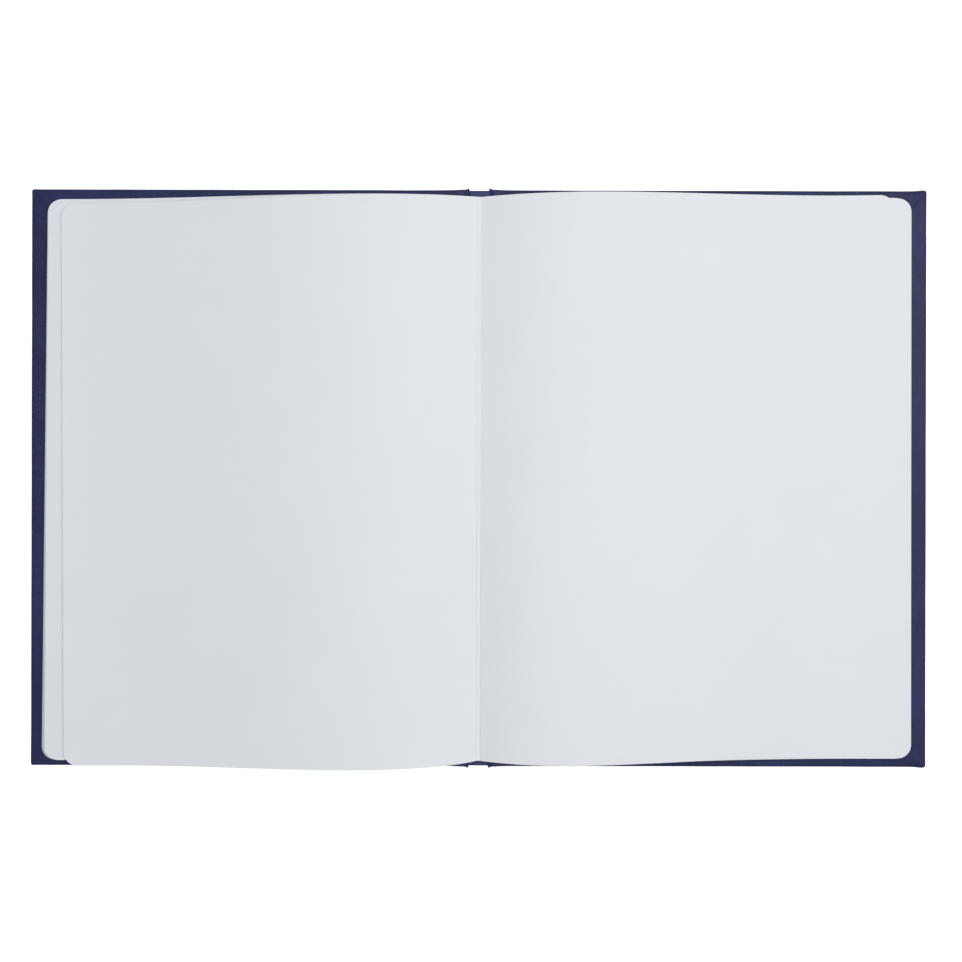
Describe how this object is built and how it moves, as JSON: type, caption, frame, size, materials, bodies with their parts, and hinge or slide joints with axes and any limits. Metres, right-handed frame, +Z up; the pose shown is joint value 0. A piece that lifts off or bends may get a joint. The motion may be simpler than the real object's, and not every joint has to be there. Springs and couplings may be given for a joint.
{
  "type": "pilot logbook",
  "caption": "Large hardback logbook lying open flat: cloth-covered case, sewn blank leaves with rounded corners arching up from the gutter; covers close and leaves lift.",
  "frame": {"origin": "on the table under the middle of the spine, with the book lying open", "axes": "+X across the open spread towards the back cover, +Y along the spine towards the head, +Z up"},
  "size_m": [0.4488, 0.2888, 0.0223],
  "materials": {
    "book_cloth": "navy woven book cloth, matt with a faint sheen",
    "board": "dense grey binder's board",
    "endpaper": "heavy smooth white endpaper",
    "page_paper": "smooth white writing paper",
    "mull_gauze": "open-weave cotton gauze, glued",
    "kraft_lining": "brown kraft paper",
    "linen_thread": "twisted linen thread"
  },
  "bodies": {
    "spine": {"spine_strip": "board", "spine_cloth": "book_cloth", "spine_lining": "kraft_lining", "spine_mull": "mull_gauze", "sewing_thread": "linen_thread", "front_joint_cloth": "book_cloth", "back_joint_cloth": "book_cloth", "signature_1_fold": "page_paper", "signature_2_fold": "page_paper", "signature_3_fold": "page_paper", "signature_4_fold": "page_paper", "signature_5_fold": "page_paper", "signature_6_fold": "page_paper", "signature_7_fold": "page_paper"},
    "front_cover": {"front_board": "board", "front_cover_cloth": "book_cloth", "front_mull_wing": "mull_gauze", "front_pastedown": "endpaper"},
    "front_pages": {"front_flyleaf": "endpaper", "signature_1": "page_paper", "signature_2": "page_paper", "signature_3": "page_paper"},
    "front_leaves": {"signature_4_leaf_1": "page_paper", "signature_4_leaf_2": "page_paper", "signature_4_leaf_3": "page_paper"},
    "front_page": {"signature_4_leaf_4": "page_paper"},
    "back_cover": {"back_board": "board", "back_cover_cloth": "book_cloth", "back_mull_wing": "mull_gauze", "back_pastedown": "endpaper"},
    "back_pages": {"back_flyleaf": "endpaper", "signature_7": "page_paper", "signature_6": "page_paper", "signature_5": "page_paper"},
    "back_leaves": {"signature_4_leaf_6": "page_paper", "signature_4_leaf_7": "page_paper", "signature_4_leaf_8": "page_paper"},
    "back_page": {"signature_4_leaf_5": "page_paper"}
  },
  "joints": [
    {"name": "front_cover_hinge", "type": "hinge", "parent": "spine", "child": "front_cover", "pos_m": [-0.002, 0, 0.00375], "axis": [0, 1, 0], "range_deg": [0, 90], "deforming": ["front_joint_cloth", "signature_3", "signature_4_leaf_1", "signature_4_leaf_2", "signature_4_leaf_3", "signature_4_leaf_4"]},
    {"name": "front_pages_lift", "type": "hinge", "parent": "front_cover", "child": "front_pages", "pos_m": [0, 0, 0.009], "axis": [0, -1, 0], "range_deg": [-6, 0]},
    {"name": "front_leaves_lift", "type": "hinge", "parent": "front_pages", "child": "front_leaves", "pos_m": [0, 0, 0.009], "axis": [0, -1, 0], "range_deg": [-10, 0]},
    {"name": "front_page_turn", "type": "hinge", "parent": "front_leaves", "child": "front_page", "pos_m": [0, 0, 0.009], "axis": [0, -1, 0], "range_deg": [-29, 0]},
    {"name": "back_cover_hinge", "type": "hinge", "parent": "spine", "child": "back_cover", "pos_m": [0.002, 0, 0.00375], "axis": [0, -1, 0], "range_deg": [0, 90], "deforming": ["back_joint_cloth", "signature_5", "signature_4_leaf_6", "signature_4_leaf_7", "signature_4_leaf_8", "signature_4_leaf_5"]},
    {"name": "back_pages_lift", "type": "hinge", "parent": "back_cover", "child": "back_pages", "pos_m": [0, 0, 0.009], "axis": [0, 1, 0], "range_deg": [-6, 0]},
    {"name": "back_leaves_lift", "type": "hinge", "parent": "back_pages", "child": "back_leaves", "pos_m": [0, 0, 0.009], "axis": [0, 1, 0], "range_deg": [-10, 0]},
    {"name": "back_page_turn", "type": "hinge", "parent": "back_leaves", "child": "back_page", "pos_m": [0, 0, 0.009], "axis": [0, 1, 0], "range_deg": [-29, 0]}
  ]
}
